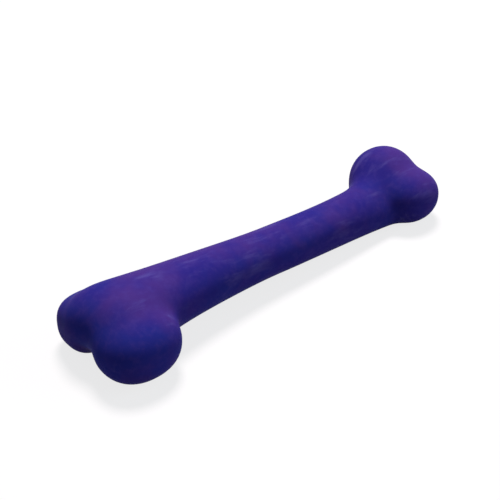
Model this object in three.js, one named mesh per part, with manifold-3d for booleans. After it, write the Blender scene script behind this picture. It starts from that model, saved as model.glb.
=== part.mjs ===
// Plastic chew bone: two moulded half shells closed round a tough core.
// Millimetres, +Z up. The bone lies along X on the plane z = 0, with its box centred on the origin.
// Front is the -X end, rear the +X end, left is +Y and right is -Y.
import * as THREE from 'three';
import { mergeVertices } from 'three/addons/utils/BufferGeometryUtils.js';
import Module from 'manifold-3d';

const wasm = await Module();
wasm.setup();

// Shaft: two round strands that coincide at the waist, part towards each knuckle and carry a lobe each.
// The eases are shares of a lobe's reach: a strand starts to swell and ends at its neck that gently.
const waistRadius = 11;
const waistHeight = 14.1;
const waistEase = 0.2;
const neckEase = 0.3;
const partingPower = 2.6;

// Lobes: reach from the waist along X, offset from the middle plane, half width and full height.
// The stretch lengthens a lobe along X, and a squareness above 2 makes it boxier than an ellipsoid.
// A neck is the end of the strand that carries the lobe: offset, radius and height of its middle.
// A shoulder blend is the width over which the neck runs into the lobe.
const frontRightReach = 82.6;
const frontRightOffset = 15.7;
const frontRightHalfWidth = 15.5;
const frontRightHeight = 28.6;
const frontRightStretch = 1.17;
const frontRightSquareness = 2.2;
const frontRightNeckOffset = 7.7;
const frontRightNeckRadius = 14.4;
const frontRightNeckHeight = 19.1;
const frontRightShoulderBlend = 6.5;
const frontLeftReach = 86.9;
const frontLeftOffset = 12.4;
const frontLeftHalfWidth = 11.7;
const frontLeftHeight = 23.1;
const frontLeftStretch = 1.07;
const frontLeftSquareness = 2.6;
const frontLeftNeckOffset = 4.2;
const frontLeftNeckRadius = 13.5;
const frontLeftNeckHeight = 18.8;
const frontLeftShoulderBlend = 9.6;
const rearRightReach = 84.1;
const rearRightOffset = 5.1;
const rearRightHalfWidth = 12.9;
const rearRightHeight = 25.1;
const rearRightStretch = 1.16;
const rearRightSquareness = 2.1;
const rearRightNeckOffset = 3;
const rearRightNeckRadius = 7.4;
const rearRightNeckHeight = 6.8;
const rearRightShoulderBlend = 4.5;
const rearLeftReach = 82.8;
const rearLeftOffset = 11.9;
const rearLeftHalfWidth = 14.7;
const rearLeftHeight = 30.5;
const rearLeftStretch = 1.08;
const rearLeftSquareness = 2.1;
const rearLeftNeckOffset = 6.5;
const rearLeftNeckRadius = 9.9;
const rearLeftNeckHeight = 11.7;
const rearLeftShoulderBlend = 17.1;

// The width over which the two sides of the bone run into each other along the cleft
const cleftBlend = 8.4;

// Shells: wall, joint plane, weld tongue and the flats that the bone lies on
const wall = 3.2;
const jointHeight = 14;
const tongueDepth = 1;
const restFlatDepth = 0.4;

// Bosses and pegs that line the two shells up, and the clearances
const bossRadius = 3.6;
const pegRadius = 1.8;
const pegLength = 4;
const fitGap = 0.3;
const coreGap = 0.8;

// Facets: rows along the shaft and round each end, columns round a section, sides of a boss
const shaftRows = 34;
const endRows = 10;
const columns = 28;
const bossSides = 20;
const searchSteps = 22;

const shellColour = 0x3d2f88;
const shellRoughness = 0.45;
const coreColour = 0x4a4668;
const coreRoughness = 0.7;

// The bottom of each lobe reaches just below z = 0, where it is cut flat
function makeLobe(place, size, neck) {
  return {
    neck,
    squareness: size.squareness,
    centre: new THREE.Vector3(place.x, place.y, size.height / 2 - restFlatDepth),
    radii: new THREE.Vector3(size.halfWidth * size.stretch, size.halfWidth, size.height / 2),
  };
}

const frontRight = makeLobe(
  { x: -frontRightReach, y: -frontRightOffset },
  {
    halfWidth: frontRightHalfWidth,
    height: frontRightHeight,
    stretch: frontRightStretch,
    squareness: frontRightSquareness,
  },
  {
    y: -frontRightNeckOffset,
    z: frontRightNeckHeight,
    radius: frontRightNeckRadius,
    blend: frontRightShoulderBlend,
  },
);
const frontLeft = makeLobe(
  { x: -frontLeftReach, y: frontLeftOffset },
  {
    halfWidth: frontLeftHalfWidth,
    height: frontLeftHeight,
    stretch: frontLeftStretch,
    squareness: frontLeftSquareness,
  },
  {
    y: frontLeftNeckOffset,
    z: frontLeftNeckHeight,
    radius: frontLeftNeckRadius,
    blend: frontLeftShoulderBlend,
  },
);
const rearRight = makeLobe(
  { x: rearRightReach, y: -rearRightOffset },
  {
    halfWidth: rearRightHalfWidth,
    height: rearRightHeight,
    stretch: rearRightStretch,
    squareness: rearRightSquareness,
  },
  {
    y: -rearRightNeckOffset,
    z: rearRightNeckHeight,
    radius: rearRightNeckRadius,
    blend: rearRightShoulderBlend,
  },
);
const rearLeft = makeLobe(
  { x: rearLeftReach, y: rearLeftOffset },
  {
    halfWidth: rearLeftHalfWidth,
    height: rearLeftHeight,
    stretch: rearLeftStretch,
    squareness: rearLeftSquareness,
  },
  {
    y: rearLeftNeckOffset,
    z: rearLeftNeckHeight,
    radius: rearLeftNeckRadius,
    blend: rearLeftShoulderBlend,
  },
);
const frontLobes = [frontRight, frontLeft];
const rearLobes = [rearRight, rearLeft];
const lobes = [...frontLobes, ...rearLobes];

// The lower of two distances, rounded over where they are closer than the blend
function smoothMin(a, b, blend) {
  const overlap = Math.max(blend - Math.abs(a - b), 0) / blend;
  return Math.min(a, b) - (overlap ** 3 * blend) / 6;
}

// Where the strands coincide, the blend of two equal distances swells them by a sixth of its width
const strandWaist = waistRadius - cleftBlend / 6;

// How far a strand has swollen: level at the waist, then at an even slope up to 1 at its neck
function swelling(share) {
  const soFar = Math.hypot(share, waistEase) - waistEase;
  const whole = Math.hypot(1, waistEase) - waistEase;
  return soFar / whole;
}

function strandField(point, lobe) {
  const { neck } = lobe;
  const share = smoothMin(point.x / lobe.centre.x, 1, neckEase);
  const radius = THREE.MathUtils.lerp(strandWaist, neck.radius, swelling(share));
  const x = lobe.centre.x * share;
  const y = neck.y * share ** partingPower;
  const z = THREE.MathUtils.lerp(waistHeight, neck.z, share);
  return Math.hypot(point.x - x, point.y - y, point.z - z) - radius;
}

// A squarish ball: a power above 2 flattens its faces and tightens its edges
function lobeField(point, lobe) {
  const power = lobe.squareness;
  const x = Math.abs(point.x - lobe.centre.x) / lobe.radii.x;
  const y = Math.abs(point.y - lobe.centre.y) / lobe.radii.y;
  const z = Math.abs(point.z - lobe.centre.z) / lobe.radii.z;
  return lobe.radii.y * ((x ** power + y ** power + z ** power) ** (1 / power) - 1);
}

// One side of the bone: a strand with a lobe at each end
function sideField(point, front, rear) {
  const lobe = point.x < 0 ? front : rear;
  return smoothMin(strandField(point, lobe), lobeField(point, lobe), lobe.neck.blend);
}

// Distance from the outer surface: negative inside the bone
function boneField(point) {
  const right = sideField(point, frontRight, rearRight);
  const left = sideField(point, frontLeft, rearLeft);
  return smoothMin(right, left, cleftBlend);
}

// The point on a ray from inside the bone that lies at a depth below the outer surface
function reach(origin, direction, depth) {
  let near = 0;
  let far = frontRightReach;
  for (let step = 0; step < searchSteps; step += 1) {
    const middle = (near + far) / 2;
    const inside = boneField(origin.clone().addScaledVector(direction, middle)) < -depth;
    near = inside ? middle : near;
    far = inside ? far : middle;
  }
  return origin.clone().addScaledVector(direction, near);
}

const average = (a, b) => (a + b) / 2;
const between = (pair, axis) => average(pair[0].centre[axis], pair[1].centre[axis]);

// A row of the surface, seen from a point inside: square to X along the shaft, fanning out round each end
function makeRow(x, lean) {
  const pair = x < 0 ? frontLobes : rearLobes;
  const share = x / between(pair, 'x');
  const neckHeight = average(pair[0].neck.z, pair[1].neck.z);
  const endHeight = average(between(pair, 'z'), neckHeight);
  const y = between(pair, 'y') * share;
  const z = THREE.MathUtils.lerp(waistHeight, endHeight, share);
  return { origin: new THREE.Vector3(x, y, z), lean };
}

// Rows lie closer together towards the knuckles
function easedShare(share) {
  const signed = 2 * share - 1;
  return average(signed, Math.sin((signed * Math.PI) / 2));
}

function makeRows() {
  const list = [];
  const rightAngle = Math.PI / 2;
  const frontX = between(frontLobes, 'x');
  const rearX = between(rearLobes, 'x');
  for (let row = 0; row < endRows; row += 1) {
    list.push(makeRow(frontX, -rightAngle * (1 - row / endRows)));
  }
  for (let row = 0; row <= shaftRows; row += 1) {
    const eased = easedShare(row / shaftRows);
    list.push(makeRow(Math.abs(eased) * (eased < 0 ? frontX : rearX), 0));
  }
  for (let row = 1; row <= endRows; row += 1) {
    list.push(makeRow(rearX, (rightAngle * row) / endRows));
  }
  return list;
}

const rows = makeRows();

// The closed ring of points of one row at a depth
function ringPoints(row, depth) {
  const points = [];
  for (let column = 0; column < columns; column += 1) {
    const turn = (2 * Math.PI * column) / columns;
    const across = Math.cos(row.lean);
    const direction = new THREE.Vector3(
      Math.sin(row.lean),
      across * Math.cos(turn),
      across * Math.sin(turn),
    );
    points.push(reach(row.origin, direction, depth));
  }
  return points;
}

// A closed geometry as a solid: triangles that have shrunk to a line are left out
function toSolid(geometry) {
  const plain = geometry.clone();
  plain.deleteAttribute('normal');
  plain.deleteAttribute('uv');
  const merged = mergeVertices(plain);
  const index = Array.from(merged.index.array);
  const triVerts = [];
  for (let i = 0; i < index.length; i += 3) {
    const [a, b, c] = index.slice(i, i + 3);
    if (a !== b && b !== c && c !== a) {
      triVerts.push(a, b, c);
    }
  }
  const mesh = new wasm.Mesh({
    numProp: 3,
    vertProperties: new Float32Array(merged.attributes.position.array),
    triVerts: new Uint32Array(triVerts),
  });
  return new wasm.Manifold(mesh);
}

// Everything deeper than a depth below the outer surface
function levelSolid(depth) {
  const rings = rows.map((row) => ringPoints(row, depth));
  const corners = [];
  for (let i = 0; i + 1 < rings.length; i += 1) {
    for (let j = 0; j < columns; j += 1) {
      const next = (j + 1) % columns;
      corners.push(rings[i][j], rings[i][next], rings[i + 1][next]);
      corners.push(rings[i][j], rings[i + 1][next], rings[i + 1][j]);
    }
  }
  return toSolid(new THREE.BufferGeometry().setFromPoints(corners));
}

// Everything between two heights
function slab(bottom, top) {
  const side = 4 * frontRightReach;
  const geometry = new THREE.BoxGeometry(side, side, top - bottom);
  geometry.translate(0, 0, average(bottom, top));
  return toSolid(geometry);
}

function uprightCylinder(centre, radius, bottom, top) {
  const geometry = new THREE.CylinderGeometry(radius, radius, top - bottom, bossSides);
  geometry.rotateX(Math.PI / 2);
  geometry.translate(centre.x, centre.y, average(bottom, top));
  return toSolid(geometry);
}

const skyHeight = 2 * (frontLeftNeckHeight + frontLeftNeckRadius);
const shell = levelSolid(0).subtract(levelSolid(wall));
const midWall = levelSolid(wall / 2);

// A post inside a lobe that runs out into the middle of the shell's wall
function boss(lobe, bottom, top) {
  return uprightCylinder(lobe.centre, bossRadius, bottom, top).intersect(midWall);
}

// The band that stands in the middle third of the wall, wider all round by a clearance
function weldBand(clearance) {
  const outer = levelSolid(wall / 3 - clearance);
  const inner = levelSolid((2 * wall) / 3 + clearance);
  const bottom = jointHeight - tongueDepth - clearance;
  return outer.subtract(inner).intersect(slab(bottom, jointHeight + tongueDepth));
}

// Upper half: a tongue along the rim, and bosses that end in pegs
function upperShell() {
  let solid = shell.intersect(slab(jointHeight, skyHeight)).add(weldBand(0));
  for (const lobe of lobes) {
    const peg = uprightCylinder(lobe.centre, pegRadius, jointHeight - pegLength, jointHeight + pegLength);
    solid = solid.add(boss(lobe, jointHeight, skyHeight)).add(peg);
  }
  return solid;
}

// Lower half: the groove, bosses with a bore for each peg, and flats cut where the bone lies
function lowerShell() {
  let solid = shell.subtract(weldBand(fitGap));
  for (const lobe of lobes) {
    const boreFloor = jointHeight - pegLength - fitGap;
    const bore = uprightCylinder(lobe.centre, pegRadius + fitGap, boreFloor, jointHeight + pegLength);
    solid = solid.add(boss(lobe, -skyHeight, jointHeight)).subtract(bore);
  }
  return solid.intersect(slab(0, jointHeight));
}

// Filling: follows the shells' inner walls at a clearance, with a hole round each boss
function core() {
  let solid = levelSolid(wall + coreGap);
  for (const lobe of lobes) {
    solid = solid.subtract(uprightCylinder(lobe.centre, bossRadius + fitGap, -skyHeight, skyHeight));
  }
  return solid;
}

function toMesh(name, solid, material) {
  const { vertProperties, triVerts } = solid.getMesh();
  const geometry = new THREE.BufferGeometry();
  geometry.setAttribute('position', new THREE.BufferAttribute(vertProperties, 3));
  geometry.setIndex(new THREE.BufferAttribute(triVerts, 1));
  geometry.computeVertexNormals();
  const mesh = new THREE.Mesh(geometry, material);
  mesh.name = name;
  return mesh;
}

function plastic(color, roughness) {
  return new THREE.MeshStandardMaterial({ color, roughness, metalness: 0 });
}

const bone = new THREE.Group();
bone.name = 'chew_bone';
bone.add(toMesh('upper_shell', upperShell(), plastic(shellColour, shellRoughness)));
bone.add(toMesh('lower_shell', lowerShell(), plastic(shellColour, shellRoughness)));
bone.add(toMesh('core', core(), plastic(coreColour, coreRoughness)));

// The lobes differ in size, so the finished bone is moved until its box is centred
const middle = new THREE.Box3().setFromObject(bone).getCenter(new THREE.Vector3());
bone.position.set(-middle.x, -middle.y, 0);

export default bone;
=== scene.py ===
"""A plastic dog chew bone: two moulded half shells closed round a tough core, on a pale studio floor."""

import logging
import math
from dataclasses import dataclass, field
from enum import Enum

import bpy
from mathutils import Matrix, Vector


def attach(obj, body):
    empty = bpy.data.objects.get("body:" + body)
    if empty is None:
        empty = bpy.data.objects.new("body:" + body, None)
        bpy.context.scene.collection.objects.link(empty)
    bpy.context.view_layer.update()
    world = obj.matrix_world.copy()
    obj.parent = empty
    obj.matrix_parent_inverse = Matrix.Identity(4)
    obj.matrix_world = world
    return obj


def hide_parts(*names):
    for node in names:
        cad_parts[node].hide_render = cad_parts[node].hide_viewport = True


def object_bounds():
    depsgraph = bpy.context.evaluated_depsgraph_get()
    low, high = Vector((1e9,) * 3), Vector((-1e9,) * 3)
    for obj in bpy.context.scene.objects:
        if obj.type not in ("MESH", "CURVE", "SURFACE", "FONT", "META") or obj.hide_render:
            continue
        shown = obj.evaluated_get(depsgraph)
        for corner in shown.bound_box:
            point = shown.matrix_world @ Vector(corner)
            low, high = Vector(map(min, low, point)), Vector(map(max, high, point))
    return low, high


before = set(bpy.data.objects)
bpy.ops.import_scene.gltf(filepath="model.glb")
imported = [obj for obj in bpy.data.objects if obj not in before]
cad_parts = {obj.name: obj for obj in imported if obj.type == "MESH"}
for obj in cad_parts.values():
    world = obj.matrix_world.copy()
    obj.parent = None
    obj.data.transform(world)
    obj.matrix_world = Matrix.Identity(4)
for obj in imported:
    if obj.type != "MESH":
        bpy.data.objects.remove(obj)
CAD_BOX: tuple[Vector, Vector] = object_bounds()

MM = 0.001
BODY = "root"
RIGHT_ANGLE = math.pi / 2
Colour = tuple[float, float, float]
Triple = tuple[float, float, float]
Number = float | int
Settings = dict[str, object]
Tree = bpy.types.NodeTree
Socket = bpy.types.NodeSocket
Sockets = bpy.types.bpy_prop_collection
WHITE: Colour = (1.0, 1.0, 1.0)
log = logging.getLogger("chew_bone")


class Half(Enum):
    """The two mouldings of the shell, with the side of the joint plane that each lies on."""

    UPPER = 1
    LOWER = -1

    @property
    def node(self) -> str:
        """The name of the half's CAD node."""
        return f"{self.name.lower()}_shell"


class End(Enum):
    """The two ends of the bone, in the words that the node tree's inputs start with."""

    FRONT = "Front"
    REAR = "Rear"


class Side(Enum):
    """The two strands that the bone is blended from."""

    RIGHT = "Right"
    LEFT = "Left"


class Attribute(Enum):
    """What each corner of a cage carries into the node tree."""

    RAY = "ray"
    DEPTH = "depth"
    RISE = "rise"
    POST = "post"


def lobe_name(end: End, side: Side) -> str:
    """The words that the inputs of one lobe start with."""
    return f"{end.value} {side.value}"


@dataclass(frozen=True)
class Lobe:
    """One lobe of a knuckle and the neck that carries it, in millimetres, with signed places."""

    reach: float
    offset: float
    half_width: float
    height: float
    stretch: float
    squareness: float
    neck_offset: float
    neck_radius: float
    neck_height: float
    shoulder_blend: float

    def centre(self, flat_depth: float) -> Vector:
        """The lobe's middle, so low that the lobe's bottom is cut flat at the floor.

        Args:
            flat_depth: How far the uncut lobe would reach below the floor, in millimetres.

        Returns:
            The middle in the bone's own frame, in metres.
        """
        return Vector((self.reach, self.offset, self.height / 2 - flat_depth)) * MM

    def radii(self) -> Vector:
        """The lobe's half length, half width and half height in metres."""
        return Vector((self.half_width * self.stretch, self.half_width, self.height / 2)) * MM


@dataclass(frozen=True)
class Knuckle:
    """One end of the bone: the lobes that its two strands carry."""

    right: Lobe
    left: Lobe

    def lobes(self) -> dict[Side, Lobe]:
        """The two lobes by their sides."""
        return {Side.RIGHT: self.right, Side.LEFT: self.left}


FRONT_KNUCKLE = Knuckle(
    right=Lobe(
        reach=-82.6,
        offset=-15.7,
        half_width=15.5,
        height=28.6,
        stretch=1.17,
        squareness=2.2,
        neck_offset=-7.7,
        neck_radius=14.4,
        neck_height=19.1,
        shoulder_blend=6.5,
    ),
    left=Lobe(
        reach=-86.9,
        offset=12.4,
        half_width=11.7,
        height=23.1,
        stretch=1.07,
        squareness=2.6,
        neck_offset=4.2,
        neck_radius=13.5,
        neck_height=18.8,
        shoulder_blend=9.6,
    ),
)

REAR_KNUCKLE = Knuckle(
    right=Lobe(
        reach=84.1,
        offset=-5.1,
        half_width=12.9,
        height=25.1,
        stretch=1.16,
        squareness=2.1,
        neck_offset=-3.0,
        neck_radius=7.4,
        neck_height=6.8,
        shoulder_blend=4.5,
    ),
    left=Lobe(
        reach=82.8,
        offset=11.9,
        half_width=14.7,
        height=30.5,
        stretch=1.08,
        squareness=2.1,
        neck_offset=6.5,
        neck_radius=9.9,
        neck_height=11.7,
        shoulder_blend=17.1,
    ),
)


@dataclass(frozen=True)
class BoneForm:
    """The sizes that the whole bone's shape follows from: lengths in millimetres, eases as shares."""

    waist_radius: float = 11.0
    waist_height: float = 14.1
    waist_ease: float = 0.2
    neck_ease: float = 0.3
    parting_power: float = 2.6
    cleft_blend: float = 8.4
    wall: float = 3.2
    joint_height: float = 14.0
    tongue_depth: float = 1.0
    rest_flat_depth: float = 0.4
    boss_radius: float = 3.6
    peg_radius: float = 1.8
    peg_length: float = 4.0
    fit_gap: float = 0.3
    front: Knuckle = FRONT_KNUCKLE
    rear: Knuckle = REAR_KNUCKLE

    @property
    def strand_waist(self) -> float:
        """A strand's radius at the waist: blending two equal strands swells them by a sixth of the blend."""
        return self.waist_radius - self.cleft_blend / 6

    def lobes(self) -> dict[str, Lobe]:
        """The four lobes by name.

        Returns:
            The front's lobes and then the rear's, the right one of each first.
        """
        found: dict[str, Lobe] = {}
        for end, knuckle in ((End.FRONT, self.front), (End.REAR, self.rear)):
            for side, lobe in knuckle.lobes().items():
                found[lobe_name(end, side)] = lobe
        return found

    def lobe_centres(self) -> dict[str, Vector]:
        """The middles of the four lobes in metres, by name."""
        return {name: lobe.centre(self.rest_flat_depth) for name, lobe in self.lobes().items()}

    def knuckle_middle(self, end: End) -> Vector:
        """The point midway between the middles of an end's two lobes, in metres."""
        centres = self.lobe_centres()
        return (centres[lobe_name(end, Side.RIGHT)] + centres[lobe_name(end, Side.LEFT)]) / 2

    def tree_inputs(self) -> dict[str, float | Vector]:
        """The named inputs of the node tree.

        Returns:
            Lengths and places in metres, and powers and eases as they are, by input name.
        """
        values: dict[str, float | Vector] = {
            "Waist Radius": self.strand_waist * MM,
            "Waist Height": self.waist_height * MM,
            "Waist Ease": self.waist_ease,
            "Neck Ease": self.neck_ease,
            "Parting Power": self.parting_power,
            "Cleft Blend": self.cleft_blend * MM,
            "Wall": self.wall * MM,
            "Joint Height": self.joint_height * MM,
            "Boss Radius": self.boss_radius * MM,
        }
        for name, lobe in self.lobes().items():
            values[f"{name} Centre"] = lobe.centre(self.rest_flat_depth)
            values[f"{name} Radii"] = lobe.radii()
            values[f"{name} Squareness"] = lobe.squareness
            values[f"{name} Neck Offset"] = lobe.neck_offset * MM
            values[f"{name} Neck Radius"] = lobe.neck_radius * MM
            values[f"{name} Neck Height"] = lobe.neck_height * MM
            values[f"{name} Shoulder Blend"] = lobe.shoulder_blend * MM
        return values


@dataclass(frozen=True)
class Quantity:
    """A number in a node tree: arithmetic on it adds Math nodes."""

    tree: Tree
    socket: Socket

    def math(self, operation: str, *others: "Quantity | Number") -> "Quantity":
        """Adds one Math node.

        Args:
            operation: The node's operation.
            others: The operands after this one.

        Returns:
            The node's result.
        """
        node = self.tree.nodes.new("ShaderNodeMath")
        node.operation = operation
        for socket, value in zip(node.inputs, (self, *others)):
            plug(self.tree, value, socket)
        return Quantity(self.tree, node.outputs["Value"])

    def __add__(self, other: "Quantity | Number") -> "Quantity":
        """The sum."""
        return self.math("ADD", other)

    def __sub__(self, other: "Quantity | Number") -> "Quantity":
        """The difference."""
        return self.math("SUBTRACT", other)

    def __mul__(self, other: "Quantity | Number") -> "Quantity":
        """The product."""
        return self.math("MULTIPLY", other)

    def __truediv__(self, other: "Quantity | Number") -> "Quantity":
        """The quotient."""
        return self.math("DIVIDE", other)

    def __pow__(self, other: "Quantity | Number") -> "Quantity":
        """The power."""
        return self.math("POWER", other)

    def towards(self, other: "Quantity", share: "Quantity") -> "Quantity":
        """The value that lies a share of the way to another one."""
        return self + (other - self) * share


Input = Quantity | Socket | Number | str | bool | tuple | Vector


def plug(tree: Tree, value: Input, socket: Socket) -> None:
    """Links a quantity or a socket to an input, or sets a plain value on it.

    Args:
        tree: The tree that both belong to.
        value: What the input gets.
        socket: The input.
    """
    if isinstance(value, Quantity):
        tree.links.new(value.socket, socket)
    elif isinstance(value, Socket):
        tree.links.new(value, socket)
    else:
        socket.default_value = value


def enabled_socket(sockets: Sockets, name: str) -> Socket:
    """The socket of a name that is in use: some nodes keep one of each type under the same name.

    Args:
        sockets: A node's inputs or outputs.
        name: The socket's name.

    Returns:
        The first enabled socket of that name.
    """
    return next(socket for socket in sockets if socket.name == name and socket.enabled)


def add_node(tree: Tree, kind: str, settings: Settings | None = None, **inputs: Input) -> bpy.types.Node:
    """Adds a node and fills its inputs.

    Args:
        tree: The tree that gets the node.
        kind: The node's type name.
        settings: The node's own properties, set before its inputs are looked up.
        inputs: Values or sockets by input name, with an underscore for each space.

    Returns:
        The new node.
    """
    node = tree.nodes.new(kind)
    for name, value in (settings or {}).items():
        setattr(node, name, value)
    for name, value in inputs.items():
        plug(tree, value, enabled_socket(node.inputs, name.replace("_", " ")))
    return node


def spread(value: Quantity, low: Quantity | Number, high: Quantity | Number) -> Quantity:
    """Stretches a value smoothly, so that it runs from 0 to 1 between two levels.

    Args:
        value: What is stretched.
        low: The level that becomes 0.
        high: The level that becomes 1.

    Returns:
        The stretched value.
    """
    settings = {"interpolation_type": "SMOOTHSTEP"}
    node = add_node(value.tree, "ShaderNodeMapRange", settings, Value=value, From_Min=low, From_Max=high)
    return Quantity(value.tree, enabled_socket(node.outputs, "Result"))


class BoneField:
    """The distance from the bone's outer surface, negative inside, written as nodes of a tree."""

    def __init__(self, tree: Tree, sizes: Sockets, point: Socket) -> None:
        """Reads the point whose distance is wanted.

        Args:
            tree: The tree that the nodes go into.
            sizes: The outputs of the tree's Group Input node.
            point: The point as a vector socket.
        """
        self.tree = tree
        self.sizes = sizes
        self.point = point
        self.x, self.y, self.z = self.split(point)
        self.is_rear = self.x.math("GREATER_THAN", 0.0)

    def size(self, name: str) -> Quantity:
        """One of the tree's named inputs."""
        return Quantity(self.tree, self.sizes[name])

    def split(self, vector: Socket) -> tuple[Quantity, Quantity, Quantity]:
        """The three parts of a vector.

        Args:
            vector: The vector's socket.

        Returns:
            Its x, y and z.
        """
        node = add_node(self.tree, "ShaderNodeSeparateXYZ", Vector=vector)
        x, y, z = (Quantity(self.tree, output) for output in node.outputs)
        return x, y, z

    def at_end(self, side: Side, name: str, kind: str = "FLOAT") -> Socket:
        """One side's value of a size at the end that the point lies at.

        Args:
            side: The side of the bone.
            name: The input's name without its end and side.
            kind: FLOAT or VECTOR.

        Returns:
            The chosen value's socket.
        """
        node = self.tree.nodes.new("GeometryNodeSwitch")
        node.input_type = kind
        plug(self.tree, self.is_rear, node.inputs["Switch"])
        plug(self.tree, self.sizes[f"{lobe_name(End.FRONT, side)} {name}"], node.inputs["False"])
        plug(self.tree, self.sizes[f"{lobe_name(End.REAR, side)} {name}"], node.inputs["True"])
        return node.outputs["Output"]

    def end_size(self, side: Side, name: str) -> Quantity:
        """One side's plain number at the end that the point lies at."""
        return Quantity(self.tree, self.at_end(side, name))

    def vector_math(self, operation: str, *operands: Socket) -> Socket:
        """Adds one Vector Math node.

        Args:
            operation: The node's operation.
            operands: The vectors that it works on.

        Returns:
            The resulting vector's socket.
        """
        node = self.tree.nodes.new("ShaderNodeVectorMath")
        node.operation = operation
        for socket, value in zip(node.inputs, operands):
            plug(self.tree, value, socket)
        return node.outputs["Vector"]

    def swelling(self, share: Quantity) -> Quantity:
        """How far a strand has swollen: level at the waist, then at an even slope up to 1 at its neck.

        Args:
            share: How far along the strand the point lies, from 0 at the waist to 1 at the neck.

        Returns:
            The share of the way from the waist's radius to the neck's.
        """
        ease = self.size("Waist Ease")
        so_far = (share ** 2.0 + ease ** 2.0).math("SQRT") - ease
        whole = (ease ** 2.0 + 1.0).math("SQRT") - ease
        return so_far / whole

    def strand(self, side: Side) -> Quantity:
        """The distance from one strand, a round bar that bends and swells from the waist to its lobes.

        Args:
            side: The side of the bone.

        Returns:
            The distance.
        """
        end_x, _, _ = self.split(self.at_end(side, "Centre", "VECTOR"))
        share = (self.x / end_x).math("SMOOTH_MIN", 1.0, self.size("Neck Ease"))
        radius = self.size("Waist Radius").towards(self.end_size(side, "Neck Radius"), self.swelling(share))
        axis_y = self.end_size(side, "Neck Offset") * share ** self.size("Parting Power")
        axis_z = self.size("Waist Height").towards(self.end_size(side, "Neck Height"), share)
        square = (self.x - end_x * share) ** 2.0
        square = square + (self.y - axis_y).math("ABSOLUTE") ** 2.0
        square = square + (self.z - axis_z).math("ABSOLUTE") ** 2.0
        return square.math("SQRT") - radius

    def lobe(self, side: Side) -> Quantity:
        """The distance from the nearer lobe of one side, a squarish ball.

        Args:
            side: The side of the bone.

        Returns:
            The distance.
        """
        radii = self.at_end(side, "Radii", "VECTOR")
        away = self.vector_math("SUBTRACT", self.point, self.at_end(side, "Centre", "VECTOR"))
        parts = self.split(self.vector_math("ABSOLUTE", self.vector_math("DIVIDE", away, radii)))
        power = self.end_size(side, "Squareness")
        x, y, z = (part ** power for part in parts)
        _, width, _ = self.split(radii)
        return ((x + y + z) ** power ** -1.0 - 1.0) * width

    def side(self, side: Side) -> Quantity:
        """The distance from one side of the bone: a strand blended into its lobes."""
        blend = self.end_size(side, "Shoulder Blend")
        return self.strand(side).math("SMOOTH_MIN", self.lobe(side), blend)

    def bone(self) -> Quantity:
        """The distance from the whole bone: its two sides blended along the cleft."""
        return self.side(Side.RIGHT).math("SMOOTH_MIN", self.side(Side.LEFT), self.size("Cleft Blend"))


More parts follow.
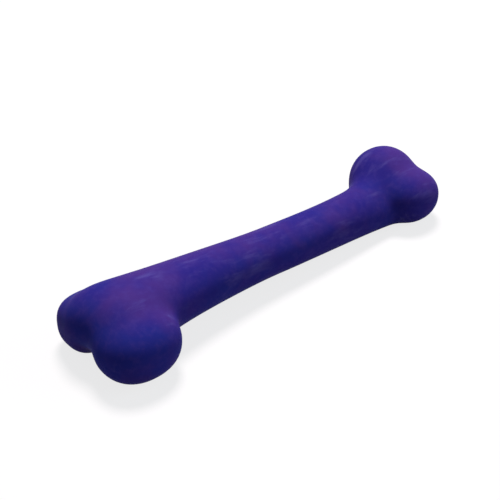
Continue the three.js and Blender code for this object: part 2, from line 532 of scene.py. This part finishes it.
@dataclass
class ShellTree:
    """The node tree that turns a cage of rays into one finished half of the shell."""

    form: BoneForm
    half: Half
    steps: int = 64
    stride: float = 0.95
    post_sides: int = 32
    post_start: float = 1.0
    merge_distance: float = 1e-7
    sharp_angle: float = math.radians(35)
    tree: Tree = field(init=False)
    sizes: Sockets = field(init=False)

    def __post_init__(self) -> None:
        """Starts the tree with its named inputs."""
        self.tree = bpy.data.node_groups.new(f"{self.half.node}_nodes", "GeometryNodeTree")
        face = self.tree.interface
        face.new_socket("Geometry", in_out="INPUT", socket_type="NodeSocketGeometry")
        for name, value in self.form.tree_inputs().items():
            kind = "NodeSocketVector" if isinstance(value, Vector) else "NodeSocketFloat"
            face.new_socket(name, in_out="INPUT", socket_type=kind)
        face.new_socket("Material", in_out="INPUT", socket_type="NodeSocketMaterial")
        face.new_socket("Geometry", in_out="OUTPUT", socket_type="NodeSocketGeometry")
        self.sizes = self.tree.nodes.new("NodeGroupInput").outputs

    def build(self) -> Tree:
        """Fills the tree.

        Returns:
            A tree that takes a cage and gives the shell with its bosses, pegs or bores and its material.
        """
        join = self.tree.nodes.new("GeometryNodeJoinGeometry")
        self.tree.links.new(self.sizes["Geometry"], join.inputs["Geometry"])
        self.tree.links.new(self.posts(), join.inputs["Geometry"])
        settled = self.settle(self.march(join.outputs["Geometry"]))
        finished = self.finish(self.unite(settled))
        output = self.tree.nodes.new("NodeGroupOutput")
        self.tree.links.new(finished, output.inputs["Geometry"])
        return self.tree

    def node(self, kind: str, settings: Settings | None = None, **inputs: Input) -> bpy.types.Node:
        """Adds a node to the tree and fills its inputs, as add_node does."""
        return add_node(self.tree, kind, settings, **inputs)

    def named(self, attribute: Attribute, kind: str = "FLOAT") -> Socket:
        """Reads what the cage's corners carry under a name.

        Args:
            attribute: What is read.
            kind: FLOAT or FLOAT_VECTOR.

        Returns:
            The value's socket.
        """
        node = self.node("GeometryNodeInputNamedAttribute", {"data_type": kind}, Name=attribute.value)
        return enabled_socket(node.outputs, "Attribute")

    def stored(self, mesh: Socket, attribute: Attribute, value: Input, kind: str = "FLOAT") -> Socket:
        """Writes a value to every corner of a mesh under a name.

        Args:
            mesh: The mesh.
            attribute: What is written.
            value: Its value.
            kind: FLOAT or FLOAT_VECTOR.

        Returns:
            The mesh with the value on its corners.
        """
        settings = {"data_type": kind, "domain": "POINT"}
        inputs = {"Geometry": mesh, "Name": attribute.value, "Value": value}
        return self.node("GeometryNodeStoreNamedAttribute", settings, **inputs).outputs["Geometry"]

    def lobe_points(self, height: Input) -> Socket:
        """One point above or below each lobe's middle.

        Args:
            height: The points' height above the floor.

        Returns:
            The points.
        """
        centres = [f"{name} Centre" for name in self.form.lobes()]
        pick = self.node("GeometryNodeIndexSwitch", {"data_type": "VECTOR"})
        while len(pick.index_switch_items) < len(centres):
            pick.index_switch_items.new()
        index = self.tree.nodes.new("GeometryNodeInputIndex")
        self.tree.links.new(index.outputs["Index"], pick.inputs["Index"])
        for number, name in enumerate(centres):
            self.tree.links.new(self.sizes[name], pick.inputs[str(number)])
        place = self.at_height(pick.outputs["Output"], height)
        return self.node("GeometryNodePoints", Count=len(centres), Position=place).outputs["Points"]

    def at_height(self, place: Socket, height: Input) -> Socket:
        """A place moved straight up or down.

        Args:
            place: The place as a vector socket.
            height: Its new height above the floor.

        Returns:
            The moved place.
        """
        parts = self.node("ShaderNodeSeparateXYZ", Vector=place).outputs
        return self.node("ShaderNodeCombineXYZ", X=parts["X"], Y=parts["Y"], Z=height).outputs["Vector"]

    def cylinders(self, radius: Input, length: Input, middle: Input) -> tuple[Socket, Socket]:
        """One upright cylinder at each lobe's middle.

        Args:
            radius: The cylinders' radius.
            length: Their length.
            middle: The height of their middles.

        Returns:
            The cylinders as one mesh, and which of its corners lie at the end away from the joint.
        """
        rod = self.node("GeometryNodeMeshCylinder", Vertices=self.post_sides, Radius=radius, Depth=length)
        copies = self.node(
            "GeometryNodeInstanceOnPoints",
            Points=self.lobe_points(middle),
            Instance=rod.outputs["Mesh"],
            Rotation=(0.0 if self.half is Half.UPPER else math.pi, 0.0, 0.0),
        )
        real = self.node("GeometryNodeRealizeInstances", Geometry=copies.outputs["Instances"])
        return real.outputs["Geometry"], rod.outputs["Top"]

    def posts(self) -> Socket:
        """The bosses, still short: their far ends carry rays that lead them into the middle of the wall.

        Returns:
            The four bosses as one mesh.
        """
        side = self.half.value
        start = self.post_start * MM
        middle = Quantity(self.tree, self.sizes["Joint Height"]) + side * start / 2
        mesh, far_end = self.cylinders(self.sizes["Boss Radius"], start, middle)
        upright = (0.0, 0.0, side)
        ray = self.node("ShaderNodeVectorMath", {"operation": "SCALE"}, Vector=upright, Scale=far_end)
        depth = Quantity(self.tree, self.sizes["Wall"]) / 2
        mesh = self.stored(mesh, Attribute.RAY, ray.outputs["Vector"], "FLOAT_VECTOR")
        mesh = self.stored(mesh, Attribute.DEPTH, depth)
        mesh = self.stored(mesh, Attribute.RISE, 0.0)
        return self.stored(mesh, Attribute.POST, 1.0)

    def march(self, mesh: Socket) -> Socket:
        """Moves each corner along its ray, step by step, until it lies at its depth below the surface.

        Args:
            mesh: The cage and the short bosses.

        Returns:
            The mesh with its corners in place.
        """
        start = self.tree.nodes.new("GeometryNodeRepeatInput")
        end = self.tree.nodes.new("GeometryNodeRepeatOutput")
        start.pair_with_output(end)
        start.inputs["Iterations"].default_value = self.steps
        self.tree.links.new(mesh, start.inputs["Geometry"])
        point = self.tree.nodes.new("GeometryNodeInputPosition").outputs["Position"]
        distance = BoneField(self.tree, self.sizes, point).bone()
        gap = distance + Quantity(self.tree, self.named(Attribute.DEPTH))
        ray = self.named(Attribute.RAY, "FLOAT_VECTOR")
        step = self.node(
            "ShaderNodeVectorMath", {"operation": "SCALE"}, Vector=ray, Scale=gap * -self.stride
        ).outputs["Vector"]
        moved = self.node("GeometryNodeSetPosition", Geometry=start.outputs["Geometry"], Offset=step)
        self.tree.links.new(moved.outputs["Geometry"], end.inputs["Geometry"])
        return end.outputs["Geometry"]

    def settle(self, mesh: Socket) -> Socket:
        """Cuts the bottom flat at the floor, and lowers the rim's tongue or groove.

        Args:
            mesh: The shell and its bosses.

        Returns:
            The settled mesh.
        """
        point = self.tree.nodes.new("GeometryNodeInputPosition").outputs["Position"]
        parts = self.node("ShaderNodeSeparateXYZ", Vector=point).outputs
        height = Quantity(self.tree, parts["Z"]).math("MAXIMUM", 0.0)
        height = height + Quantity(self.tree, self.named(Attribute.RISE))
        place = self.at_height(point, height)
        return self.node("GeometryNodeSetPosition", Geometry=mesh, Position=place).outputs["Geometry"]

    def unite(self, mesh: Socket) -> Socket:
        """Joins the bosses to the wall, and adds the pegs to the upper half or bores the lower one for them.

        Args:
            mesh: The shell and its bosses, still apart.

        Returns:
            One closed mesh.
        """
        merged = self.node("GeometryNodeMergeByDistance", Geometry=mesh, Distance=self.merge_distance)
        is_post = self.named(Attribute.POST)
        apart = self.node(
            "GeometryNodeSeparateGeometry", Geometry=merged.outputs["Geometry"], Selection=is_post
        ).outputs
        with_bosses = self.combine("UNION", apart["Inverted"], apart["Selection"])
        clearance = 0.0 if self.half is Half.UPPER else self.form.fit_gap
        radius = self.form.peg_radius + clearance
        length = 2 * self.form.peg_length + clearance
        middle = self.form.joint_height - clearance / 2
        pegs, _ = self.cylinders(radius * MM, length * MM, middle * MM)
        operation = "UNION" if self.half is Half.UPPER else "DIFFERENCE"
        return self.combine(operation, with_bosses, pegs)

    def combine(self, operation: str, first: Socket, second: Socket) -> Socket:
        """Joins two closed meshes, or cuts the second one out of the first.

        Args:
            operation: UNION or DIFFERENCE.
            first: The mesh that stays.
            second: The mesh that is added or cut out.

        Returns:
            One closed mesh.
        """
        node = self.node("GeometryNodeMeshBoolean", {"operation": operation, "solver": "MANIFOLD"})
        kept = "Mesh 1" if operation == "DIFFERENCE" else "Mesh 2"
        self.tree.links.new(first, node.inputs[kept])
        self.tree.links.new(second, node.inputs["Mesh 2"])
        return node.outputs["Mesh"]

    def finish(self, mesh: Socket) -> Socket:
        """Shades the surface smooth up to its sharp edges and gives it its material.

        Args:
            mesh: The closed mesh.

        Returns:
            The finished piece.
        """
        smooth = self.node("GeometryNodeSetShadeSmooth", {"domain": "FACE"}, Geometry=mesh, Shade_Smooth=True)
        angle = self.tree.nodes.new("GeometryNodeInputMeshEdgeAngle").outputs["Unsigned Angle"]
        sharp = self.node(
            "GeometryNodeSetShadeSmooth",
            {"domain": "EDGE"},
            Geometry=smooth.outputs["Geometry"],
            Selection=Quantity(self.tree, angle).math("GREATER_THAN", self.sharp_angle),
            Shade_Smooth=False,
        )
        real = self.node("GeometryNodeRealizeInstances", Geometry=sharp.outputs["Geometry"])
        plain = real.outputs["Geometry"]
        dressed = self.node("GeometryNodeSetMaterial", Geometry=plain, Material=self.sizes["Material"])
        return dressed.outputs["Geometry"]


@dataclass(frozen=True)
class Corner:
    """One corner of a half shell's section: where its ray turns to, its depth and how far it is raised."""

    turn: float
    depth: float
    rise: float = 0.0


@dataclass(frozen=True)
class Row:
    """One row of a cage: the point on the joint plane that its rays start from, and how far they lean."""

    origin: Vector
    lean: float


@dataclass(frozen=True)
class ShellHalf:
    """One moulding of the shell: its fine surface, weld rim, bosses and pegs."""

    form: BoneForm
    half: Half
    shaft_rows: int = 150
    end_rows: int = 44
    outer_columns: int = 72
    inner_columns: int = 32
    rim_turn: float = math.radians(0.3)
    skin_inset: float = 0.1
    slot: str = "shell_plastic"

    def section(self) -> list[Corner]:
        """The closed section of the half shell: outer skin, rim, inner wall and the other rim.

        Returns:
            The section's corners in order, with lengths in millimetres.
        """
        first = 0.0 if self.half is Half.UPPER else math.pi
        last = first + math.pi
        turns = [first + math.pi * column / self.outer_columns for column in range(1, self.outer_columns)]
        turns = [first, first + self.rim_turn, *turns, last - self.rim_turn, last]
        outer = [Corner(turn, self.skin_inset) for turn in turns]
        steps = range(self.inner_columns + 1)
        inner = [Corner(last - math.pi * column / self.inner_columns, self.form.wall) for column in steps]
        return [*outer, *self.rim(last), *inner, *reversed(self.rim(first))]

    def rim(self, turn: float) -> list[Corner]:
        """The tongue or the groove at one side of the section, from the outside in.

        Args:
            turn: The turn of the rays that lie in the joint plane on that side.

        Returns:
            The four corners between the outer and the inner edge of the rim.
        """
        clearance = 0.0 if self.half is Half.UPPER else self.form.fit_gap
        third = self.form.wall / 3
        outside = third - clearance
        inside = 2 * third + clearance
        drop = -self.form.tongue_depth - clearance
        places = [(outside, 0.0), (outside, drop), (inside, drop), (inside, 0.0)]
        return [Corner(turn, depth, rise) for depth, rise in places]

    def rows(self) -> list[Row]:
        """The cage's rows: fans round both ends, and rows square to the shaft, closer to the knuckles.

        Returns:
            The rows from the front to the rear.
        """
        front = self.form.knuckle_middle(End.FRONT)
        rear = self.form.knuckle_middle(End.REAR)
        fan = [RIGHT_ANGLE * row / self.end_rows for row in range(1, self.end_rows + 1)]
        rows = [Row(self.spine(front), -lean) for lean in reversed(fan)]
        for row in range(self.shaft_rows + 1):
            signed = 2 * row / self.shaft_rows - 1
            eased = (signed + math.sin(signed * RIGHT_ANGLE)) / 2
            end = front if eased < 0 else rear
            rows.append(Row(self.spine(abs(eased) * end), 0.0))
        return rows + [Row(self.spine(rear), lean) for lean in fan]

    def spine(self, place: Vector) -> Vector:
        """A point moved straight up or down into the joint plane."""
        return Vector((place.x, place.y, self.form.joint_height * MM))

    def cage(self) -> bpy.types.Mesh:
        """Makes the mesh whose corners still lie on the spine and carry the rays that lead them out.

        Returns:
            A mesh of rows by section corners, closed round the section.
        """
        rows = self.rows()
        section = self.section()
        width = len(section)
        corners: list[Vector] = []
        rays: list[float] = []
        for row in rows:
            across = math.cos(row.lean)
            for corner in section:
                corners.append(row.origin)
                rays += (math.sin(row.lean), across * math.cos(corner.turn), across * math.sin(corner.turn))
        faces: list[tuple[int, int, int, int]] = []
        for row in range(len(rows) - 1):
            here = row * width
            ahead = here + width
            for column in range(width):
                following = (column + 1) % width
                faces.append((here + column, here + following, ahead + following, ahead + column))
        mesh = bpy.data.meshes.new(f"{self.half.node}_cage")
        mesh.from_pydata(corners, [], faces)
        mesh.attributes.new(Attribute.RAY.value, "FLOAT_VECTOR", "POINT").data.foreach_set("vector", rays)
        depths = [corner.depth * MM for corner in section] * len(rows)
        mesh.attributes.new(Attribute.DEPTH.value, "FLOAT", "POINT").data.foreach_set("value", depths)
        rises = [corner.rise * MM for corner in section] * len(rows)
        mesh.attributes.new(Attribute.RISE.value, "FLOAT", "POINT").data.foreach_set("value", rises)
        return mesh

    def build(self, material: bpy.types.Material) -> bpy.types.Object:
        """Makes the finished piece in the bone's own frame.

        Args:
            material: The plastic that the half is moulded from.

        Returns:
            A plain mesh object at the origin.
        """
        name = f"{self.half.node}_moulding"
        worker = bpy.data.objects.new(f"{name}_cage", self.cage())
        bpy.context.scene.collection.objects.link(worker)
        tree = ShellTree(self.form, self.half).build()
        modifier = worker.modifiers.new("form", "NODES")
        modifier.node_group = tree
        values = {**self.form.tree_inputs(), "Material": material}
        for item in tree.interface.items_tree:
            if item.in_out == "INPUT" and item.name in values:
                modifier[item.identifier] = values[item.name]
        graph = bpy.context.evaluated_depsgraph_get()
        mesh = bpy.data.meshes.new_from_object(worker.evaluated_get(graph), depsgraph=graph)
        mesh.name = name
        for attribute in Attribute:
            if attribute.value in mesh.attributes:
                mesh.attributes.remove(mesh.attributes[attribute.value])
        worker.modifiers.remove(modifier)
        bpy.data.objects.remove(worker)
        piece = bpy.data.objects.new(name, mesh)
        bpy.context.scene.collection.objects.link(piece)
        return piece

    def place(self, piece: bpy.types.Object, shift: Vector) -> None:
        """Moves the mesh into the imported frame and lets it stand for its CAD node.

        Args:
            piece: What build() gave.
            shift: From the bone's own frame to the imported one.
        """
        piece.data.transform(Matrix.Translation(shift))
        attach(piece, BODY)
        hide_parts(self.half.node)
        log.info("%s: %d faces", piece.name, len(piece.data.polygons))


def box_of(meshes: list[bpy.types.Mesh]) -> tuple[Vector, Vector]:
    """The box round some meshes.

    Args:
        meshes: The meshes.

    Returns:
        The box's lowest and highest corners.
    """
    points = [vertex.co for mesh in meshes for vertex in mesh.vertices]
    lowest = Vector(min(point[axis] for point in points) for axis in range(3))
    highest = Vector(max(point[axis] for point in points) for axis in range(3))
    return lowest, highest


@dataclass(frozen=True)
class NoiseLayer:
    """One noise over a surface, and the levels between which its mask runs from 0 to 1."""

    scale: float
    detail: float
    roughness: float
    low: float = 0.0
    high: float = 1.0
    offset: Triple = (0.0, 0.0, 0.0)
    turn: float = 0.0
    stretch: Triple = (1.0, 1.0, 1.0)


class ShaderEffect:
    """A shader node group with named inputs and outputs, built once and placed in each material."""

    def __init__(self, name: str, inputs: dict[str, float], outputs: tuple[str, ...]) -> None:
        """Starts an empty group.

        Args:
            name: The group's name.
            inputs: Its number inputs with their usual values, besides the Vector that every effect reads.
            outputs: The names of its number outputs.
        """
        self.tree = bpy.data.node_groups.new(name, "ShaderNodeTree")
        self.tree.interface.new_socket("Vector", in_out="INPUT", socket_type="NodeSocketVector")
        for label, value in inputs.items():
            socket = self.tree.interface.new_socket(label, in_out="INPUT", socket_type="NodeSocketFloat")
            socket.default_value = value
        for label in outputs:
            self.tree.interface.new_socket(label, in_out="OUTPUT", socket_type="NodeSocketFloat")
        self.inputs = self.tree.nodes.new("NodeGroupInput").outputs
        self.outputs = self.tree.nodes.new("NodeGroupOutput").inputs

    def noise(self, layer: NoiseLayer, scale: str) -> Quantity:
        """A noise value over the surface.

        Args:
            layer: The noise.
            scale: The name of the group's input that holds its scale.

        Returns:
            The bare noise.
        """
        mapping = add_node(
            self.tree,
            "ShaderNodeMapping",
            Vector=self.inputs["Vector"],
            Location=layer.offset,
            Rotation=(0.0, 0.0, layer.turn),
            Scale=layer.stretch,
        )
        node = add_node(
            self.tree,
            "ShaderNodeTexNoise",
            Vector=mapping.outputs["Vector"],
            Scale=self.inputs[scale],
            Detail=layer.detail,
            Roughness=layer.roughness,
        )
        return Quantity(self.tree, node.outputs["Fac"])

    def mask(self, layer: NoiseLayer, scale: str) -> Quantity:
        """A noise stretched between its levels.

        Args:
            layer: The noise and its levels.
            scale: The name of the group's input that holds its scale.

        Returns:
            A mask from 0 to 1.
        """
        return spread(self.noise(layer, scale), layer.low, layer.high)

    def put(self, label: str, value: Quantity) -> None:
        """Sends a value out of the group."""
        self.tree.links.new(value.socket, self.outputs[label])


@dataclass(frozen=True)
class Mottle:
    """The blotches in moulded plastic: slow patches of uneven pigment; reddish stains, partly uneven pigment
    and partly a painted magenta highlight; and small faint flecks.
    """

    patches: NoiseLayer = NoiseLayer(26.0, 4.0, 0.55, low=0.42, high=0.64, offset=(-2.127, 2.132, -0.809))
    # Reddish stains: partly uneven pigment, partly a painted magenta highlight.
    stains: NoiseLayer = NoiseLayer(26.0, 4.0, 0.55, low=0.44, high=0.66, offset=(0.513, -0.146, -1.981))
    flecks: NoiseLayer = NoiseLayer(320.0, 4.0, 0.6, low=0.42, high=0.72)

    def build(self) -> Tree:
        """Makes the node group.

        Returns:
            A group whose outputs Patches, Stains and Flecks are masks.
        """
        layers = {"Patches": self.patches, "Stains": self.stains, "Flecks": self.flecks}
        scales = {f"{name} Scale": layer.scale for name, layer in layers.items()}
        effect = ShaderEffect("mottle", scales, tuple(layers))
        for name, layer in layers.items():
            effect.put(name, effect.mask(layer, f"{name} Scale"))
        return effect.tree


@dataclass(frozen=True)
class SatinGrain:
    """The fine satin grain of a moulded skin, over a slow unevenness."""

    grain: NoiseLayer = NoiseLayer(2600.0, 2.0, 0.5)
    wave: NoiseLayer = NoiseLayer(160.0, 2.0, 0.5)
    grain_share: float = 0.3

    def build(self) -> Tree:
        """Makes the node group.

        Returns:
            A group whose Height feeds a Bump node.
        """
        scales = {"Grain Scale": self.grain.scale, "Wave Scale": self.wave.scale}
        effect = ShaderEffect("satin_grain", scales, ("Height",))
        grain = effect.noise(self.grain, "Grain Scale")
        wave = effect.noise(self.wave, "Wave Scale")
        effect.put("Height", grain * self.grain_share + wave * (1.0 - self.grain_share))
        return effect.tree


@dataclass(frozen=True)
class RubbedStreaksAndSheen:
    """Short lighter streaks that run slantwise along the bone, here and there: partly rubbed wear and partly
    a painted sheen that stands in for a soft highlight.
    """

    # Lighter streaks: partly rubbed wear, partly a painted sheen.
    streaks: NoiseLayer = NoiseLayer(
        90.0, 5.0, 0.65, low=0.50, high=0.74, turn=math.radians(28), stretch=(0.35, 2.2, 1.0)
    )
    areas: NoiseLayer = NoiseLayer(45.0, 1.0, 0.5, low=0.42, high=0.54, offset=(-0.675, -0.026, 1.024))

    def build(self) -> Tree:
        """Makes the node group.

        Returns:
            A group whose Mask is 1 in the middle of a streak.
        """
        scales = {"Streak Scale": self.streaks.scale, "Area Scale": self.areas.scale}
        effect = ShaderEffect("rubbed_streaks_and_sheen", scales, ("Mask",))
        streaks = effect.mask(self.streaks, "Streak Scale")
        effect.put("Mask", streaks * effect.mask(self.areas, "Area Scale"))
        return effect.tree


def mix_colours(tree: Tree, share: Quantity | Socket, first: Colour | Socket, second: Colour) -> Socket:
    """Adds a colour mix.

    Args:
        tree: The tree that gets the node.
        share: How much of the second colour shows.
        first: A colour or a colour socket.
        second: The colour that is mixed in.

    Returns:
        The mixed colour's socket.
    """
    node = tree.nodes.new("ShaderNodeMix")
    node.data_type = "RGBA"
    plug(tree, share, enabled_socket(node.inputs, "Factor"))
    plug(tree, (*first, 1.0) if isinstance(first, tuple) else first, enabled_socket(node.inputs, "A"))
    plug(tree, (*second, 1.0), enabled_socket(node.inputs, "B"))
    return enabled_socket(node.outputs, "Result")


@dataclass(frozen=True)
class Effects:
    """The node groups that the plastics share."""

    mottle: Tree
    grain: Tree
    scuffs_and_sheen: Tree


@dataclass(frozen=True)
class PlasticFinish:
    """A dyed plastic: its colours, gloss and the strength of its surface detail."""

    name: str
    colour: Colour
    patch_colour: Colour
    stain_and_highlight_colour: Colour
    fleck_colour: Colour
    scuff_and_sheen_colour: Colour
    roughness: float
    roughness_swing: float
    fleck_share: float
    scuff_and_sheen_share: float
    bump_strength: float
    bump_depth: float
    specular: float = 0.5

    def material(self, effects: Effects) -> bpy.types.Material:
        """Makes the material.

        Args:
            effects: The shared node groups.

        Returns:
            A procedural material that reads Object coordinates.
        """
        material = bpy.data.materials.new(self.name)
        material.use_nodes = True
        tree = material.node_tree
        shader = tree.nodes["Principled BSDF"]
        place = tree.nodes.new("ShaderNodeTexCoord").outputs["Object"]
        mottle = add_node(tree, "ShaderNodeGroup", {"node_tree": effects.mottle}, Vector=place).outputs
        grain = add_node(tree, "ShaderNodeGroup", {"node_tree": effects.grain}, Vector=place).outputs
        scuffs_and_sheen = add_node(tree, "ShaderNodeGroup", {"node_tree": effects.scuffs_and_sheen}, Vector=place).outputs
        flecks = Quantity(tree, mottle["Flecks"])
        rubbed_and_sheen = Quantity(tree, scuffs_and_sheen["Mask"])
        colour = mix_colours(tree, mottle["Patches"], self.colour, self.patch_colour)
        # Reddish stains mixed in: partly uneven pigment and partly a painted magenta highlight.
        colour = mix_colours(tree, mottle["Stains"], colour, self.stain_and_highlight_colour)
        colour = mix_colours(tree, flecks * self.fleck_share, colour, self.fleck_colour)
        # Lighter streaks mixed in: partly rubbed wear and partly a painted sheen in place of a real
        # highlight.
        colour = mix_colours(tree, rubbed_and_sheen * self.scuff_and_sheen_share, colour, self.scuff_and_sheen_colour)
        plug(tree, colour, shader.inputs["Base Color"])
        roughness = flecks * self.roughness_swing + self.roughness
        plug(tree, roughness + rubbed_and_sheen * self.roughness_swing, shader.inputs["Roughness"])
        bump = add_node(
            tree,
            "ShaderNodeBump",
            Strength=self.bump_strength,
            Distance=self.bump_depth * MM,
            Height=grain["Height"],
        )
        plug(tree, bump.outputs["Normal"], shader.inputs["Normal"])
        shader.inputs["Specular IOR Level"].default_value = self.specular
        return material


SHELL_FINISH = PlasticFinish(
    name="violet_satin_plastic",
    colour=(0.027, 0.020, 0.214),
    patch_colour=(0.021, 0.026, 0.237),
    # Reddish stain tone: partly pigment, partly a painted magenta highlight.
    stain_and_highlight_colour=(0.060, 0.028, 0.207),
    fleck_colour=(0.070, 0.045, 0.270),
    # Lighter violet streak tone: partly rubbed wear, partly a painted sheen.
    scuff_and_sheen_colour=(0.095, 0.078, 0.320),
    roughness=0.48,
    roughness_swing=0.10,
    fleck_share=0.30,
    scuff_and_sheen_share=0.70,
    bump_strength=0.30,
    bump_depth=0.20,
    specular=0.006,
)

CORE_FINISH = PlasticFinish(
    name="grey_violet_filling",
    colour=(0.070, 0.062, 0.140),
    patch_colour=(0.050, 0.045, 0.110),
    stain_and_highlight_colour=(0.085, 0.070, 0.150),
    fleck_colour=(0.120, 0.110, 0.190),
    scuff_and_sheen_colour=(0.100, 0.090, 0.160),
    roughness=0.68,
    roughness_swing=0.10,
    fleck_share=0.40,
    scuff_and_sheen_share=0.20,
    bump_strength=0.40,
    bump_depth=0.30,
)


@dataclass(frozen=True)
class Core:
    """The tough filling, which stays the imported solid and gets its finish."""

    node: str = "core"
    slot: str = "core_plastic"

    def dress(self, material: bpy.types.Material) -> None:
        """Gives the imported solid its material.

        Args:
            material: The filling's plastic.
        """
        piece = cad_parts[self.node]
        piece.data.materials.clear()
        piece.data.materials.append(material)
        log.info("%s: %d faces", piece.name, len(piece.data.polygons))


def direction(azimuth: float, elevation: float) -> Vector:
    """The way from the bone to something round it.

    Args:
        azimuth: Where it stands, in degrees: 0 lies along -Y and 90 along +X.
        elevation: How far it stands above the floor, in degrees.

    Returns:
        A vector of length 1.
    """
    around, above = math.radians(azimuth), math.radians(elevation)
    level = math.cos(above)
    return Vector((math.sin(around) * level, -math.cos(around) * level, math.sin(above)))


def aim(thing: bpy.types.Object, back: Vector) -> None:
    """Turns a lamp or a camera to look along a way and links it into the scene.

    Args:
        thing: The lamp or the camera.
        back: The way from what it looks at to it.
    """
    thing.rotation_mode = "QUATERNION"
    thing.rotation_quaternion = (-back).to_track_quat("-Z", "Y")
    bpy.context.scene.collection.objects.link(thing)


@dataclass(frozen=True)
class Lamp:
    """A soft round lamp aimed at the bone: its place in degrees and metres, its width and its power."""

    name: str
    azimuth: float
    elevation: float
    distance: float
    width: float
    power: float
    colour: Colour

    def build(self) -> None:
        """Hangs the lamp."""
        data = bpy.data.lights.new(self.name, "AREA")
        data.shape = "DISK"
        data.size = self.width
        data.energy = self.power
        data.color = self.colour
        lamp = bpy.data.objects.new(self.name, data)
        back = direction(self.azimuth, self.elevation)
        lamp.location = back * self.distance
        aim(lamp, back)


KEY_LAMP = Lamp(
    name="key_lamp",
    azimuth=140.0,
    elevation=68.0,
    distance=2.0,
    width=0.7,
    power=46.0,
    colour=(1.0, 0.91, 0.92),
)

FILL_LAMP = Lamp(
    name="fill_lamp",
    azimuth=50.0,
    elevation=25.0,
    distance=2.0,
    width=1.2,
    power=8.5,
    colour=(0.80, 0.86, 1.0),
)


@dataclass(frozen=True)
class Camera:
    """The camera at the photograph's viewing angle: degrees, and millimetres in the bone's own frame."""

    azimuth: float = -40.28
    elevation: float = 33.86
    distance: float = 517.4
    right: float = -8.58
    up: float = 12.12
    lens: float = 83.17
    sensor: float = 36.0

    def build(self, shift: Vector) -> None:
        """Places the camera.

        Args:
            shift: From the bone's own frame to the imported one.
        """
        data = bpy.data.cameras.new("camera")
        data.sensor_width = self.sensor
        data.lens = self.lens
        camera = bpy.data.objects.new("camera", data)
        back = direction(self.azimuth, self.elevation)
        right = Vector((0, 0, 1)).cross(back).normalized()
        place = back * self.distance + right * self.right + back.cross(right) * self.up
        camera.location = place * MM + shift
        aim(camera, back)
        bpy.context.scene.camera = camera


@dataclass(frozen=True)
class Studio:
    """The pale floor, which keeps the bone's shadow, and the plain soft light: lengths in metres."""

    floor_size: float = 6.0
    floor_shade: float = 0.92
    floor_white: float = 0.78
    floor_bounce: float = 0.335
    shadow_reach: float = 0.22
    fade_reach: float = 0.80
    ambient: float = 0.195
    ambient_colour: Colour = (0.70, 0.79, 1.0)

    def build(self) -> None:
        """Sets up the floor and the light."""
        self.build_floor()
        self.build_world()
        for lamp in (KEY_LAMP, FILL_LAMP):
            lamp.build()

    def build_floor(self) -> None:
        """Lays the floor under the bone."""
        side = self.floor_size / 2
        corners = [(-side, -side, 0), (side, -side, 0), (side, side, 0), (-side, side, 0)]
        mesh = bpy.data.meshes.new("floor")
        mesh.from_pydata(corners, [], [(0, 1, 2, 3)])
        mesh.materials.append(self.floor_material())
        floor = bpy.data.objects.new("floor", mesh)
        bpy.context.scene.collection.objects.link(floor)

    def floor_material(self) -> bpy.types.Material:
        """Makes the floor's material, near white where it is looked at and duller where light bounces off it.

        Returns:
            The material.
        """
        material = bpy.data.materials.new("pale_floor")
        material.use_nodes = True
        tree = material.node_tree
        tree.nodes.clear()
        seen = self.seen_straight(tree)
        shade = seen * (self.floor_shade - self.floor_bounce) + self.floor_bounce
        matt = add_node(tree, "ShaderNodeBsdfDiffuse", Color=shade)
        white = add_node(tree, "ShaderNodeEmission", Strength=1.0)
        mix = tree.nodes.new("ShaderNodeMixShader")
        shown = (seen * self.whiteness(tree), matt.outputs["BSDF"], white.outputs["Emission"])
        for value, socket in zip(shown, mix.inputs):
            plug(tree, value, socket)
        output = tree.nodes.new("ShaderNodeOutputMaterial")
        tree.links.new(mix.outputs["Shader"], output.inputs["Surface"])
        return material

    def whiteness(self, tree: Tree) -> Quantity:
        """How white the floor looks: it keeps shadows near the bone and is plain white further away.

        Args:
            tree: The floor material's tree.

        Returns:
            The share of white, from that under the bone up to 1.
        """
        place = tree.nodes.new("ShaderNodeTexCoord").outputs["Object"]
        away = add_node(tree, "ShaderNodeVectorMath", {"operation": "LENGTH"}, Vector=place)
        faded = spread(Quantity(tree, away.outputs["Value"]), self.shadow_reach, self.fade_reach)
        return faded * (1.0 - self.floor_white) + self.floor_white

    def build_world(self) -> None:
        """Fills the surroundings with a plain soft light that looks white to the camera."""
        world = bpy.data.worlds.new("studio")
        world.use_nodes = True
        tree = world.node_tree
        background = tree.nodes["Background"]
        seen = self.seen_straight(tree)
        colour = mix_colours(tree, seen, self.ambient_colour, WHITE)
        plug(tree, colour, background.inputs["Color"])
        plug(tree, seen * (1.0 - self.ambient) + self.ambient, background.inputs["Strength"])
        bpy.context.scene.world = world

    def seen_straight(self, tree: Tree) -> Quantity:
        """Where the camera, a gloss or glass looks at a surface, and not where light bounces off it.

        Args:
            tree: The material's or the world's tree.

        Returns:
            One where it is looked at, and nought elsewhere.
        """
        path = tree.nodes.new("ShaderNodeLightPath").outputs
        seen = Quantity(tree, path["Is Camera Ray"])
        for other in ("Is Glossy Ray", "Is Transmission Ray"):
            seen = seen.math("MAXIMUM", Quantity(tree, path[other]))
        return seen


def main() -> None:
    """Builds the bone and its studio."""
    logging.basicConfig(level=logging.INFO, format="%(name)s: %(message)s")
    bpy.context.scene.view_settings.view_transform = "Standard"
    form = BoneForm()
    effects = Effects(Mottle().build(), SatinGrain().build(), RubbedStreaksAndSheen().build())
    plastic = SHELL_FINISH.material(effects)
    halves = [ShellHalf(form, half) for half in Half]
    pieces = [half.build(plastic) for half in halves]
    lowest, highest = box_of([piece.data for piece in pieces])
    shift = (CAD_BOX[0] + CAD_BOX[1] - lowest - highest) / 2
    shift.z = 0.0
    for half, piece in zip(halves, pieces):
        half.place(piece, shift)
    Core().dress(CORE_FINISH.material(effects))
    Camera().build(shift)
    Studio().build()


if __name__ == "__main__":
    main()
